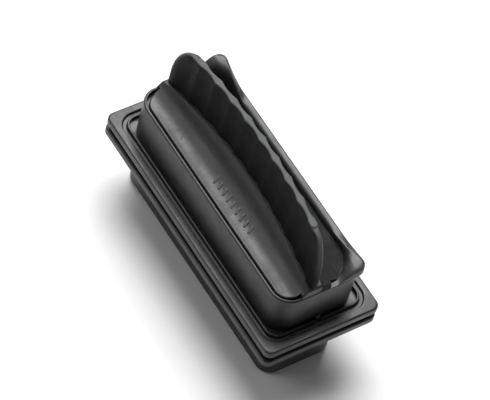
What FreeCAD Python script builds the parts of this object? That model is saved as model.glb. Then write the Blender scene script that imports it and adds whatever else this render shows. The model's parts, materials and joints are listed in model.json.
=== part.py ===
import FreeCAD, Part
import math
import os

# Magnetic glass cleaner: a dry outer half with a fluted handle, and a wet inner half.
# Millimetres. X runs along the handle, Y across it, Z from the inner half to the handle.
# The origin is at the middle of the inner half's resting face.

os.makedirs("parts", exist_ok=True)
Vector = FreeCAD.Vector

# ---- Outer case, seen from above -------------------------------------------------
case_length = 88.6
case_width = 31.6
case_corner = 7.0
case_wall = 2.4
rim_land = 1.0            # width of the case's top edge
rim_round = 0.4

# ---- Flanges of both trays -------------------------------------------------------
end_band = 2.7            # flat band along the flange's short edges
side_band = 2.3           # flat band along its long edges
groove_width = 1.5
lip_thickness = 0.8
lip_gap = 0.7             # open moat between the lip and the case wall
lip_rise = 0.6            # lip top above the flange
lip_corner = 3.5
moat_depth = 1.0
flange_thickness = 3.0
flange_corner = 2.5
flange_round = 0.6

# ---- Inner case ------------------------------------------------------------------
inner_step_end = 6.4      # flange overhang at the short ends
inner_step_side = 7.9     # flange overhang at the long sides
inner_corner = 5.0
inner_wall = 2.4
inner_floor = 2.0
inner_edge_round = 1.6
gasket_width = 1.2
gasket_height = 1.0

# ---- Magnets, yokes and what holds them ------------------------------------------
magnet_height = 9.0
magnet_gap = 0.15         # play round each magnet in its window
magnet_round = 0.8
frame_web = 1.7           # frame wall at the ends and between the magnets
frame_side_web = 1.6
frame_gap = 0.2           # play between a frame and its case
yoke_thickness = 2.0
inner_foam = 7.6
outer_foam = 1.2

# ---- Pads ------------------------------------------------------------------------
pad_border = 3.0          # flange edge left bare round a pad recess
pad_play = 0.3
pad_corner = 1.5
recess_depth = 0.8
hook_thickness = 0.5
scrub_thickness = 1.2
tape_thickness = 0.3
felt_thickness = 1.3
pad_gap = 0.3             # between the two pads with the halves together

# ---- Handle panel and grip -------------------------------------------------------
panel_thickness = 2.4
panel_drop = 0.6          # scoop floor below the case rim
seat_step = 1.0           # thickness of the panel's seating edge
seat_play = 0.1
shadow_gap = 0.9          # visible line between the rim and the panel
scoop_land = 0.8          # level strip outside the curved flanks
bow_mid = -0.6            # Y of the grip's middle plane, mid length
bow_end = -4.0            # and at its ends: the grip is bowed across the panel
ledge_rise = 7.6          # ledge above the scoop floor, mid length
ledge_drop = 4.4          # how much lower the ledge is at the ends
ledge_width = 0.6
end_play = 0.3            # the spine stops this far inside the case's end face
grip_height = 24.3        # crown above the rim, mid length
crown_drop = 1.0          # how much lower the crown is where its corners start
corner_length = 9.0
corner_height = 15.3
side_view_margin = 1.0    # the side outline stands this far beyond the rounded ends
sole_half = 1.9           # half thickness of the grip at its sole
crown_half = 1.25         # and at its crown
flute_count = 10
flute_end = 3.4           # plain rounded end beyond the last flute
flute_depth = 0.45
blade_thickness = 1.0     # rib of the panel inside the grip
blade_cover = 3.5         # rubber over the blade's top and ends
section_count = 7         # sections the spine is drawn through
bank_rise = 1.6           # raised far side of the panel, above the rim
bank_width = 2.4
bank_corner = 3.0         # its corners are squarer than the case's and stand out over them
bank_inner_corner = 9.0
bank_start = 6.5          # Y where the bank begins on the short sides
left_ear_rise = 6.5       # the bank's corners rise higher than its long side
right_ear_rise = 3.5
ear_length = 10.0
ear_lean = 3.5            # how far an ear's end leans in across the short side

# ---- Snap tabs -------------------------------------------------------------------
tab_width = 1.6
tab_height = 3.0
tab_play = 0.4

overshoot = 1.0           # how far cutting shapes run past what they cut

# ---- Sizes that follow -----------------------------------------------------------
lip_reach = lip_gap + lip_thickness
flange_length = case_length + 2 * (lip_reach + groove_width + end_band)
flange_width = case_width + 2 * (lip_reach + groove_width + side_band)
inner_length = flange_length - 2 * inner_step_end
inner_width = flange_width - 2 * inner_step_side
cavity_length = inner_length - 2 * inner_wall
cavity_width = inner_width - 2 * inner_wall
cavity_corner = inner_corner - inner_wall

frame_inner_length = cavity_length - 2 * frame_gap
magnet_length = (frame_inner_length - 3 * frame_web) / 2 - 2 * magnet_gap
magnet_width = cavity_width - 2 * (frame_gap + frame_side_web + magnet_gap)
magnet_centre = (magnet_length + frame_web) / 2 + magnet_gap
yoke_length = 2 * (magnet_centre + magnet_length / 2)

# Levels, from the resting face up
inner_yoke_low = inner_floor + inner_foam
inner_magnet_low = inner_yoke_low + yoke_thickness
inner_top = inner_magnet_low + magnet_height
inner_flange_top = inner_top + flange_thickness
hook_low = inner_flange_top - recess_depth
scrub_low = hook_low + hook_thickness
scrub_top = scrub_low + scrub_thickness
felt_low = scrub_top + pad_gap
tape_low = felt_low + felt_thickness
tape_top = tape_low + tape_thickness
outer_flange_low = tape_top - recess_depth
deck = outer_flange_low + flange_thickness
moat_floor = deck - moat_depth
outer_yoke_low = deck + magnet_height
outer_foam_low = outer_yoke_low + yoke_thickness
panel_low = outer_foam_low + outer_foam
scoop_floor = panel_low + panel_thickness
rim = scoop_floor + panel_drop

case_bore_length = case_length - 2 * case_wall
case_bore_width = case_width - 2 * case_wall
case_bore_corner = case_corner - case_wall
panel_width = case_width - 2 * (rim_land + shadow_gap)
flank_start = panel_width / 2 - scoop_land
spine_half_length = case_length / 2 - end_play
spine_half = sole_half + ledge_width
ledge_mid = scoop_floor + ledge_rise
ledge_end = ledge_mid - ledge_drop
grip_half_length = spine_half_length - end_play
crown = rim + grip_height
crown_shoulder = crown - crown_drop
flute_reach = grip_half_length - flute_end
flute_pitch = 2 * flute_reach / flute_count
blade_half_length = grip_half_length - corner_length - blade_cover / 2
blade_top = crown_shoulder - blade_cover


def slab(length, width, corner, low, high):
    """Upright block centred on the Z axis, with round corners in plan."""
    block = Part.makeBox(length, width, high - low, Vector(-length / 2, -width / 2, low))
    uprights = [edge for edge in block.Edges if edge.BoundBox.ZLength > (high - low) / 2]
    return block.makeFillet(corner, uprights)


def inset_slab(inset, low, high):
    """Upright block that lies inside the case outline by the inset."""
    return slab(case_length - 2 * inset, case_width - 2 * inset, case_corner - inset, low, high)


def soften(shape, radius, level):
    """Rounds the edges that lie at one height."""
    flat = [edge for edge in shape.Edges
            if abs(edge.BoundBox.ZMin - level) < 1e-4 and abs(edge.BoundBox.ZMax - level) < 1e-4]
    return shape.makeFillet(radius, flat)


def flange(low):
    plate = slab(flange_length, flange_width, flange_corner, low, low + flange_thickness)
    return soften(soften(plate, flange_round, low), flange_round, low + flange_thickness)


def pad_slab(low, high, play):
    """A sheet that lies in a pad recess; play is the gap round it."""
    inset = 2 * (pad_border + play)
    return slab(flange_length - inset, flange_width - inset, pad_corner, low, high)


def band(length, width, corner, reach, low, high):
    """Closed ring round a plan outline, as wide as reach, lying outside it."""
    outside = slab(length + 2 * reach, width + 2 * reach, corner + reach, low, high)
    return outside.cut(slab(length, width, corner, low - overshoot, high + overshoot))


def magnet_block(centre, low):
    block = Part.makeBox(magnet_length, magnet_width, magnet_height,
                         Vector(centre - magnet_length / 2, -magnet_width / 2, low))
    return block.makeFillet(magnet_round, block.Edges)


def magnet_frame(length, width, corner, low):
    """Flat frame with one window for each magnet."""
    frame = slab(length - 2 * frame_gap, width - 2 * frame_gap, corner, low, low + magnet_height)
    window_low = low - overshoot
    for side in (-1, 1):
        opening_length = magnet_length + 2 * magnet_gap
        opening_width = magnet_width + 2 * magnet_gap
        corner_point = Vector(side * magnet_centre - opening_length / 2, -opening_width / 2, window_low)
        frame = frame.cut(Part.makeBox(opening_length, opening_width, magnet_height + 2 * overshoot,
                                       corner_point))
    return frame


def yoke(low):
    return slab(yoke_length, magnet_width, magnet_round, low, low + yoke_thickness)


# ---- Inner half ------------------------------------------------------------------
def inner_case():
    body = slab(inner_length, inner_width, inner_corner, 0, inner_top)
    body = soften(body, inner_edge_round, 0)
    body = body.cut(slab(cavity_length, cavity_width, cavity_corner, inner_floor, inner_top + overshoot))
    return body.cut(slab(cavity_length + 2 * gasket_width, cavity_width + 2 * gasket_width,
                         cavity_corner + gasket_width, inner_top - gasket_height, inner_top + overshoot))


def inner_gasket():
    return band(cavity_length, cavity_width, cavity_corner, gasket_width,
                inner_top - gasket_height, inner_top)


def inner_tray():
    return flange(inner_top).cut(pad_slab(hook_low, inner_flange_top + overshoot, 0))


# ---- Outer half ------------------------------------------------------------------
def outer_tray():
    tray = flange(outer_flange_low)
    lip_length = case_length + 2 * lip_gap
    lip_width = case_width + 2 * lip_gap
    groove = band(lip_length + 2 * lip_thickness, lip_width + 2 * lip_thickness,
                  lip_corner + lip_thickness, groove_width, moat_floor, deck + overshoot)
    moat = slab(lip_length, lip_width, lip_corner, moat_floor, deck + overshoot)
    raised = slab(case_bore_length - 2 * seat_play, case_bore_width - 2 * seat_play,
                  case_bore_corner - seat_play, moat_floor, deck + overshoot)
    lip = band(lip_length, lip_width, lip_corner, lip_thickness, moat_floor, deck + lip_rise)
    tray = tray.cut(groove).cut(moat.cut(raised)).fuse(lip).removeSplitter()
    notch_width = tab_width + 2 * tab_play
    notch = Part.makeBox(lip_length + 2 * lip_thickness + overshoot, notch_width,
                         lip_rise + moat_depth + overshoot,
                         Vector(-(lip_length + overshoot) / 2 - lip_thickness, -notch_width / 2,
                                moat_floor))
    notch = notch.cut(slab(lip_length, lip_width, lip_corner, moat_floor - overshoot, deck + 2 * overshoot))
    tray = tray.cut(notch)
    return tray.cut(pad_slab(outer_flange_low - overshoot, tape_top, 0))


def outer_case():
    body = slab(case_length, case_width, case_corner, moat_floor, rim)
    body = soften(body, rim_round, rim)
    tab_reach = case_length + 2 * (lip_reach - tab_play)
    tabs = Part.makeBox(tab_reach, tab_width, tab_height,
                        Vector(-tab_reach / 2, -tab_width / 2, moat_floor))
    body = body.fuse(tabs)
    body = body.cut(slab(case_bore_length, case_bore_width, case_bore_corner, moat_floor - overshoot,
                         rim + overshoot))
    return body.cut(inset_slab(rim_land, panel_low, rim + overshoot))


def prism(edges, direction):
    return Part.Face(Part.Wire(edges)).extrude(direction)


def line(start, end):
    return Part.LineSegment(start, end).toShape()


def arc(start, middle, end):
    return Part.Arc(start, middle, end).toShape()


def bow(x):
    """Y of the grip's middle plane."""
    return bow_mid + (bow_end - bow_mid) * (x / spine_half_length) ** 2


def ledge(x):
    """Height of the ledge that carries the grip."""
    return ledge_mid - ledge_drop * (x / spine_half_length) ** 2


def flank(x, side, head_y, head_z):
    """Quarter-round flank, level at its foot, that meets the ledge."""
    across = flank_start + side * -head_y
    rise = head_z - scoop_floor
    radius = (across ** 2 + rise ** 2) / (2 * rise)
    half_turn = math.asin(across / radius) / 2
    middle = Vector(x, side * (flank_start - radius * math.sin(half_turn)),
                    scoop_floor + radius * (1 - math.cos(half_turn)))
    return arc(Vector(x, side * flank_start, scoop_floor), middle, Vector(x, head_y, head_z))


def spine_section(x):
    low = scoop_floor - seat_step
    left, right = bow(x) - spine_half, bow(x) + spine_half
    top = ledge(x)
    edges = [flank(x, -1, left, top),
             line(Vector(x, left, top), Vector(x, right, top)),
             flank(x, 1, right, top),
             line(Vector(x, flank_start, scoop_floor), Vector(x, flank_start, low)),
             line(Vector(x, flank_start, low), Vector(x, -flank_start, low)),
             line(Vector(x, -flank_start, low), Vector(x, -flank_start, scoop_floor))]
    return Part.Wire(edges)


def spine():
    """Bowed ridge along X with hollow flanks; its ends run out over the case rim."""
    step = 2 * spine_half_length / (section_count - 1)
    sections = [spine_section(index * step - spine_half_length) for index in range(section_count)]
    ridge = Part.makeLoft(sections, True, False)
    inside = inset_slab(rim_land + shadow_gap, panel_low, rim)
    above = slab(2 * spine_half_length, case_width, case_corner, rim, ledge_mid + overshoot)
    return ridge.common(inside).fuse(ridge.common(above))


def bowed_plan(reach, half, level):
    """Plan of a thin wall that follows the bow."""
    def point(x, side):
        return Vector(x, bow(x) + side * half, level)
    edges = [arc(point(-reach, -1), point(0, -1), point(reach, -1)),
             line(point(reach, -1), point(reach, 1)),
             arc(point(reach, 1), point(0, 1), point(-reach, 1)),
             line(point(-reach, 1), point(-reach, -1))]
    return edges


def blade():
    return prism(bowed_plan(blade_half_length, blade_thickness / 2, scoop_floor),
                 Vector(0, 0, blade_top - scoop_floor))


def plate(points):
    """Flat face through the points."""
    return Part.Face(Part.makePolygon(points + points[:1]))


def bank():
    """Raised far side of the panel: a low wall between two ears, lapped over the case rim."""
    low, top = scoop_floor - seat_step, rim + left_ear_rise
    end, side, shoulder = case_length / 2, case_width / 2, rim + bank_rise
    hollow = slab(case_length - 2 * bank_width, case_width - 2 * bank_width, bank_inner_corner,
                  low - overshoot, top + overshoot)
    over = slab(case_length, case_width, bank_corner, rim, top).cut(hollow)
    inside = inset_slab(rim_land + shadow_gap, low, rim).cut(hollow)
    heights = [(-end, low), (end, low), (end, rim + right_ear_rise),
               (end - ear_length / 2, rim + right_ear_rise), (end - ear_length, shoulder),
               (ear_length - end, shoulder), (ear_length / 2 - end, top), (-end, top)]
    side_view = plate([Vector(x, 0, z) for x, z in heights]).extrude(Vector(0, side, 0))
    ends = [(bank_start, low), (side, low), (side, top), (bank_start + ear_lean, top),
            (bank_start, rim)]
    end_view = plate([Vector(-end, y, z) for y, z in ends]).extrude(Vector(case_length, 0, 0))
    return over.fuse(inside).common(side_view).common(end_view)


def handle_panel():
    seat = inset_slab(rim_land + seat_play, panel_low, panel_low + seat_step)
    floor = inset_slab(rim_land + shadow_gap, panel_low, scoop_floor)
    return seat.fuse([floor, spine(), blade(), bank()]).removeSplitter()


def fluted_outline(level, half):
    """Plan of the grip: a bowed bar with hollow flutes along both sides."""
    edges = []
    for side in (-1, 1):
        for flute in range(flute_count):
            start = side * (flute * flute_pitch - flute_reach)
            end = start + side * flute_pitch
            middle = (start + end) / 2
            edges.append(arc(Vector(start, bow(start) - side * half, level),
                             Vector(middle, bow(middle) - side * (half - flute_depth), level),
                             Vector(end, bow(end) - side * half, level)))
        reach = side * flute_reach
        edges.append(arc(Vector(reach, bow(reach) - side * half, level),
                         Vector(side * grip_half_length, bow(grip_half_length), level),
                         Vector(reach, bow(reach) + side * half, level)))
    return Part.Wire(edges)


def grip_side_view():
    """Side outline of the grip: arched sole, upright ends, round shoulders, arched crown."""
    x, y = grip_half_length + side_view_margin, panel_width / 2
    shoulder = x - corner_length
    bulge = math.sqrt(0.5)
    corner_low = crown_shoulder - corner_height
    edges = [arc(Vector(-x, -y, ledge(x)), Vector(0, -y, ledge_mid), Vector(x, -y, ledge(x))),
             arc(Vector(-shoulder, -y, crown_shoulder), Vector(0, -y, crown),
                 Vector(shoulder, -y, crown_shoulder))]
    for side in (-1, 1):
        bend = Vector(side * (shoulder + corner_length * bulge), -y, corner_low + corner_height * bulge)
        edges.append(line(Vector(side * x, -y, ledge(x)), Vector(side * x, -y, corner_low)))
        edges.append(arc(Vector(side * x, -y, corner_low), bend,
                         Vector(side * shoulder, -y, crown_shoulder)))
    return prism(Part.__sortEdges__(edges), Vector(0, panel_width, 0))


def grip():
    sole = fluted_outline(ledge_end - overshoot, sole_half)
    top = fluted_outline(crown, crown_half)
    body = Part.makeLoft([sole, top], True, True)
    body = body.common(grip_side_view())
    return body.cut(spine()).cut(blade())


nodes = {
    "inner_case": inner_case(),
    "inner_gasket": inner_gasket(),
    "inner_foam": slab(cavity_length - 2 * frame_gap, cavity_width - 2 * frame_gap, cavity_corner,
                       inner_floor, inner_yoke_low),
    "inner_yoke": yoke(inner_yoke_low),
    "inner_magnet_frame": magnet_frame(cavity_length, cavity_width, cavity_corner, inner_magnet_low),
    "inner_magnet_left": magnet_block(-magnet_centre, inner_magnet_low),
    "inner_magnet_right": magnet_block(magnet_centre, inner_magnet_low),
    "inner_tray": inner_tray(),
    "hook_sheet": pad_slab(hook_low, scrub_low, pad_play),
    "scrub_pad": pad_slab(scrub_low, scrub_top, pad_play),
    "felt_pad": pad_slab(felt_low, tape_low, pad_play),
    "felt_tape": pad_slab(tape_low, tape_top, pad_play),
    "outer_tray": outer_tray(),
    "outer_magnet_left": magnet_block(-magnet_centre, deck),
    "outer_magnet_right": magnet_block(magnet_centre, deck),
    "outer_magnet_frame": magnet_frame(case_bore_length, case_bore_width, case_bore_corner, deck),
    "outer_yoke": yoke(outer_yoke_low),
    "outer_foam": slab(case_bore_length - 2 * frame_gap, case_bore_width - 2 * frame_gap,
                       case_bore_corner, outer_foam_low, panel_low),
    "outer_case": outer_case(),
    "handle_panel": handle_panel(),
    "grip": grip(),
}

for name, compound in nodes.items():
    shape = compound.Solids[0]
    shape.exportStep("parts/" + name + ".step")
    box = shape.BoundBox
    print(name, shape.isValid(), len(compound.Solids), round(shape.Volume, 1),
          [round(value, 2) for value in (box.XMin, box.YMin, box.ZMin, box.XMax, box.YMax, box.ZMax)])
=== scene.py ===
import json
import math
import bmesh
import bpy
from mathutils import Matrix, Vector


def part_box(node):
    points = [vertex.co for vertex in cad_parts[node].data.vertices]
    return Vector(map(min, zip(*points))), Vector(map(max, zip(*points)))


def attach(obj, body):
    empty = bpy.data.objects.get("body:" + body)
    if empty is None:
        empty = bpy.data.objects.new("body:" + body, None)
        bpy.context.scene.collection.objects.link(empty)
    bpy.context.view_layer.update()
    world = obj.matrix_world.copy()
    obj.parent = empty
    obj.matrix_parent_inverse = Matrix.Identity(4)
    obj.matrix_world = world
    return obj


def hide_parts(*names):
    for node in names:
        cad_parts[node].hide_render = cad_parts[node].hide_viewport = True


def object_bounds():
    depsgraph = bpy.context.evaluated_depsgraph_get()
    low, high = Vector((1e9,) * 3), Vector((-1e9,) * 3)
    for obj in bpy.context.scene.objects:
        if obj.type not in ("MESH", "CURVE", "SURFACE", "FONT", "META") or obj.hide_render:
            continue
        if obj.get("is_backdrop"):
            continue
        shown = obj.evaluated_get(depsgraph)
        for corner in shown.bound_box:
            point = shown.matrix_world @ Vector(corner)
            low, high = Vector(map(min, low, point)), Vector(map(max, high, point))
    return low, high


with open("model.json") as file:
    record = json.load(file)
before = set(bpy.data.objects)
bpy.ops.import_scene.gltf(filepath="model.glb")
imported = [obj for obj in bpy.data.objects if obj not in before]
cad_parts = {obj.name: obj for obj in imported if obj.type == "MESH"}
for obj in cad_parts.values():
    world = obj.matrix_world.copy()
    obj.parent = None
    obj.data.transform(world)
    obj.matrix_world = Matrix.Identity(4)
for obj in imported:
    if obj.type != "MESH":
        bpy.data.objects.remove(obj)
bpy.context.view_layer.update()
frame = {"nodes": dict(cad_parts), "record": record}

# Magnetic glass cleaner: a dry half with the grip, and a wet half with the scrubbing pad.
# Metres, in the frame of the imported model. mm turns the small sizes below into metres.
mm = 0.001

# ---- Levels and outlines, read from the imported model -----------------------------
flange_half = Vector(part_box("outer_tray")[1]).xy
case_half = Vector((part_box("handle_panel")[1][0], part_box("outer_case")[1][1]))
flange_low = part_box("outer_tray")[0][2]
lip_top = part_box("outer_tray")[1][2]
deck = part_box("outer_magnet_left")[0][2]
moat_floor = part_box("outer_case")[0][2]
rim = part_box("outer_case")[1][2]
panel_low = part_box("handle_panel")[0][2]
wet_half = Vector(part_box("inner_case")[1]).xy
wet_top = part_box("inner_case")[1][2]
wet_flange_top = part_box("inner_tray")[1][2]
pad_half = Vector(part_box("felt_pad")[1]).xy
grip_low, grip_high = (Vector(corner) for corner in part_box("grip"))

case_corner = 7.0 * mm
rim_land = 1.0 * mm
shadow_gap = 0.9 * mm
scoop_floor = rim - 0.6 * mm
panel_inset = rim_land + shadow_gap
pad_play = 0.3 * mm


# ---- Mesh helpers ----------------------------------------------------------------
def finish_piece(name, shape, sharp=38):
    """Makes an object of the shape, smooth except at edges sharper than the angle."""
    bmesh.ops.recalc_face_normals(shape, faces=shape.faces)
    for face in shape.faces:
        face.smooth = True
    for edge in shape.edges:
        if len(edge.link_faces) == 2 and edge.calc_face_angle() > math.radians(sharp):
            edge.smooth = False
    mesh = bpy.data.meshes.new(name)
    shape.to_mesh(mesh)
    shape.free()
    piece = bpy.data.objects.new(name, mesh)
    bpy.context.scene.collection.objects.link(piece)
    return piece


def outline(half_length, half_width, corner, level, steps=12):
    """Points of one round-cornered rectangle, anticlockwise from the +X side."""
    points = []
    for quarter, (end, side) in enumerate(((1, 1), (-1, 1), (-1, -1), (1, -1))):
        for step in range(steps + 1):
            angle = (quarter + step / steps) * math.pi / 2
            points.append(((half_length - corner) * end + corner * math.cos(angle),
                           (half_width - corner) * side + corner * math.sin(angle), level))
    return points


def softened(profile, steps=6):
    """Rounds each corner of a wall profile by the softness at the end of its row."""
    rows = [Vector(profile[0][:4])]
    for before, here, after in zip(profile, profile[1:], profile[2:]):
        start, middle, end = (Vector(row[:4]) for row in (before, here, after))
        arms = []
        for other in (start, end):
            run = math.hypot(other[1] - middle[1], other[3] - middle[3])
            arms.append((other - middle) * here[4] / run)
        for step in range(steps + 1):
            turn = step / steps * math.pi / 2
            rows.append(middle + arms[0] * (1 - math.sin(turn)) + arms[1] * (1 - math.cos(turn)))
    rows.append(Vector(profile[-1][:4]))
    return rows


def add_wall(shape, profile, endless=False):
    """Adds a moulded wall: round-cornered outlines joined in the profile's order."""
    rings = [[shape.verts.new(point) for point in outline(*row)] for row in softened(profile)]
    pairs = list(zip(rings, rings[1:]))
    if endless:
        pairs.append((rings[-1], rings[0]))
    else:
        shape.faces.new(list(reversed(rings[0])))
        shape.faces.new(rings[-1])
    for low, high in pairs:
        for index, corner in enumerate(low):
            following = (index + 1) % len(low)
            shape.faces.new((corner, low[following], high[following], high[index]))


def add_block(shape, low, high, softness):
    """Adds a small box with softened edges."""
    middle = (Vector(low) + Vector(high)) / 2
    size = Vector(high) - Vector(low)
    made = bmesh.ops.create_cube(shape, size=1, matrix=Matrix.LocRotScale(middle, None, size))
    edges = list({edge for corner in made["verts"] for edge in corner.link_edges})
    bmesh.ops.bevel(shape, geom=edges, offset=softness, segments=3, affect="EDGES", profile=0.5)


# ---- Node helpers ----------------------------------------------------------------
def add_node(tree, kind, settings=None, inputs=None):
    """Adds a node. Inputs are named or numbered, and hold a value or another node's output."""
    node = tree.nodes.new(kind)
    for name, value in (settings or {}).items():
        setattr(node, name, value)
    for name, value in (inputs or {}).items():
        if isinstance(value, bpy.types.NodeSocket):
            tree.links.new(value, node.inputs[name])
        else:
            node.inputs[name].default_value = value
    return node


def calculate(tree, operation, *values):
    """Adds a Math node on one, two or three values and gives its output."""
    return add_node(tree, "ShaderNodeMath", {"operation": operation},
                    dict(enumerate(values))).outputs[0]


def spread(tree, value, low, high, to_low=0.0, to_high=1.0):
    """Maps a value from one range to another, clamped."""
    return add_node(tree, "ShaderNodeMapRange", {"interpolation_type": "SMOOTHSTEP"},
                    {"Value": value, "From Min": low, "From Max": high, "To Min": to_low,
                     "To Max": to_high}).outputs["Result"]


def new_group(name, kind, inputs, outputs):
    """An empty node group with its sockets. Inputs are (name, type, value)."""
    group = bpy.data.node_groups.new(name, kind)
    for label, socket_type, value in inputs:
        socket = group.interface.new_socket(label, in_out="INPUT", socket_type=socket_type)
        if value is not None:
            socket.default_value = value
    for label, socket_type in outputs:
        group.interface.new_socket(label, in_out="OUTPUT", socket_type=socket_type)
    return group, group.nodes.new("NodeGroupInput"), group.nodes.new("NodeGroupOutput")


# ---- Effects that several finishes share -----------------------------------------
def moulded_grain():
    """Fine spark texture of moulded plastic, with slow patches of gloss."""
    group, given, out = new_group(
        "moulded grain", "ShaderNodeTree",
        [("Vector", "NodeSocketVector", None), ("Scale", "NodeSocketFloat", 2600.0)],
        [("Height", "NodeSocketFloat"), ("Patches", "NodeSocketFloat")])
    fine = add_node(group, "ShaderNodeTexNoise", None,
                    {"Vector": given.outputs["Vector"], "Scale": given.outputs["Scale"],
                     "Detail": 2.0, "Roughness": 0.6})
    pits = add_node(group, "ShaderNodeTexVoronoi", None,
                    {"Vector": given.outputs["Vector"],
                     "Scale": calculate(group, "MULTIPLY", given.outputs["Scale"], 0.45)})
    slow = add_node(group, "ShaderNodeTexNoise", None,
                    {"Vector": given.outputs["Vector"],
                     "Scale": calculate(group, "MULTIPLY", given.outputs["Scale"], 0.05),
                     "Detail": 4.0, "Roughness": 0.55})
    height = calculate(group, "MULTIPLY_ADD", pits.outputs["Distance"], 0.5, fine.outputs[0])
    group.links.new(height, out.inputs["Height"])
    group.links.new(spread(group, slow.outputs[0], 0.3, 0.7), out.inputs["Patches"])
    return group


def edge_wear_and_highlight():
    """Mask of the edges, lightened as rub wear and as a painted highlight, broken up along their
    length.
    """
    group, given, out = new_group(
        "edge wear and highlight", "ShaderNodeTree",
        [("Vector", "NodeSocketVector", None), ("Width", "NodeSocketFloat", 0.0005)],
        [("Mask", "NodeSocketFloat")])
    rounded = add_node(group, "ShaderNodeBevel", {"samples": 4},
                       {"Radius": given.outputs["Width"]})
    true_side = add_node(group, "ShaderNodeNewGeometry")
    facing = add_node(group, "ShaderNodeVectorMath", {"operation": "DOT_PRODUCT"},
                      {0: rounded.outputs["Normal"], 1: true_side.outputs["Normal"]})
    edge = spread(group, facing.outputs["Value"], 0.995, 0.9)
    rub = add_node(group, "ShaderNodeTexNoise", None,
                   {"Vector": given.outputs["Vector"], "Scale": 260.0, "Detail": 5.0,
                    "Roughness": 0.65})
    broken = calculate(group, "MULTIPLY", edge, spread(group, rub.outputs[0], 0.38, 0.62))
    group.links.new(broken, out.inputs["Mask"])
    return group


def fine_scratches():
    """Thin handling scratches in two directions."""
    group, given, out = new_group(
        "fine scratches", "ShaderNodeTree",
        [("Vector", "NodeSocketVector", None), ("Density", "NodeSocketFloat", 140.0)],
        [("Mask", "NodeSocketFloat")])
    masks = []
    for turn, stretch in ((0.5, 0.06), (-0.9, 0.09)):
        turned = add_node(group, "ShaderNodeMapping", None,
                          {"Vector": given.outputs["Vector"], "Rotation": (0.3, 0.2, turn),
                           "Scale": (stretch, 1.0, 0.5)})
        cells = add_node(group, "ShaderNodeTexVoronoi", {"feature": "DISTANCE_TO_EDGE"},
                         {"Vector": turned.outputs["Vector"],
                          "Scale": given.outputs["Density"]})
        masks.append(spread(group, cells.outputs["Distance"], 0.02, 0.0))
    where = add_node(group, "ShaderNodeTexNoise", None,
                     {"Vector": given.outputs["Vector"], "Scale": 90.0, "Detail": 2.0})
    both = calculate(group, "MAXIMUM", masks[0], masks[1])
    kept = calculate(group, "MULTIPLY", both, spread(group, where.outputs[0], 0.5, 0.68))
    group.links.new(kept, out.inputs["Mask"])
    return group


def settled_dust():
    """Faint dust on what faces up."""
    group, given, out = new_group(
        "settled dust", "ShaderNodeTree",
        [("Vector", "NodeSocketVector", None), ("Scale", "NodeSocketFloat", 700.0)],
        [("Mask", "NodeSocketFloat")])
    side = add_node(group, "ShaderNodeNewGeometry")
    lift = add_node(group, "ShaderNodeSeparateXYZ", None, {0: side.outputs["Normal"]})
    specks = add_node(group, "ShaderNodeTexNoise", None,
                      {"Vector": given.outputs["Vector"], "Scale": given.outputs["Scale"],
                       "Detail": 6.0, "Roughness": 0.75})
    drifts = add_node(group, "ShaderNodeTexNoise", None,
                      {"Vector": given.outputs["Vector"], "Scale": 60.0, "Detail": 3.0})
    mask = calculate(group, "MULTIPLY", spread(group, specks.outputs[0], 0.5, 0.75),
                     spread(group, drifts.outputs[0], 0.35, 0.7))
    mask = calculate(group, "MULTIPLY", mask, spread(group, lift.outputs["Z"], 0.3, 0.95))
    group.links.new(mask, out.inputs["Mask"])
    return group


def matted_fibres():
    """Tangled fibres of felt, foam backing and hook fabric."""
    group, given, out = new_group(
        "matted fibres", "ShaderNodeTree",
        [("Vector", "NodeSocketVector", None), ("Scale", "NodeSocketFloat", 1500.0)],
        [("Height", "NodeSocketFloat"), ("Tone", "NodeSocketFloat")])
    strands = []
    for turn in (0.2, 1.3, 2.4):
        turned = add_node(group, "ShaderNodeMapping", None,
                          {"Vector": given.outputs["Vector"], "Rotation": (0.1, 0.15, turn),
                           "Scale": (0.12, 1.0, 0.6)})
        strand = add_node(group, "ShaderNodeTexNoise", None,
                          {"Vector": turned.outputs["Vector"], "Scale": given.outputs["Scale"],
                           "Detail": 3.0, "Distortion": 0.6})
        strands.append(strand.outputs[0])
    height = calculate(group, "MAXIMUM", calculate(group, "MAXIMUM", strands[0], strands[1]),
                       strands[2])
    clumps = add_node(group, "ShaderNodeTexNoise", None,
                      {"Vector": given.outputs["Vector"], "Scale": 190.0, "Detail": 4.0})
    group.links.new(height, out.inputs["Height"])
    group.links.new(clumps.outputs[0], out.inputs["Tone"])
    return group


grain_effect = moulded_grain()
edge_wear_highlight_effect = edge_wear_and_highlight()
scratch_effect = fine_scratches()
dust_effect = settled_dust()
fibre_effect = matted_fibres()


# ---- Finishes --------------------------------------------------------------------
def start_finish(name):
    material = bpy.data.materials.new(name)
    material.use_nodes = True
    tree = material.node_tree
    place = tree.nodes.new("ShaderNodeTexCoord").outputs["Object"]
    return material, tree, tree.nodes["Principled BSDF"], place


def use_effect(tree, effect, place, **values):
    node = add_node(tree, "ShaderNodeGroup", {"node_tree": effect}, {"Vector": place})
    for name, value in values.items():
        node.inputs[name].default_value = value
    return node.outputs


def tint(tree, amount, base, over):
    """Mixes one colour over another by a mask."""
    mixed = add_node(tree, "ShaderNodeMix", {"data_type": "RGBA"})
    given = {"Factor_Float": amount, "A_Color": base, "B_Color": over}
    for socket in mixed.inputs:
        value = given.get(socket.identifier)
        if isinstance(value, bpy.types.NodeSocket):
            tree.links.new(value, socket)
        elif value:
            socket.default_value = (*value, 1)
    return next(socket for socket in mixed.outputs if socket.identifier == "Result_Color")


def raise_surface(tree, shader, height, strength, depth):
    bump = add_node(tree, "ShaderNodeBump", None,
                    {"Height": height, "Strength": strength, "Distance": depth})
    tree.links.new(bump.outputs["Normal"], shader.inputs["Normal"])


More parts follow.
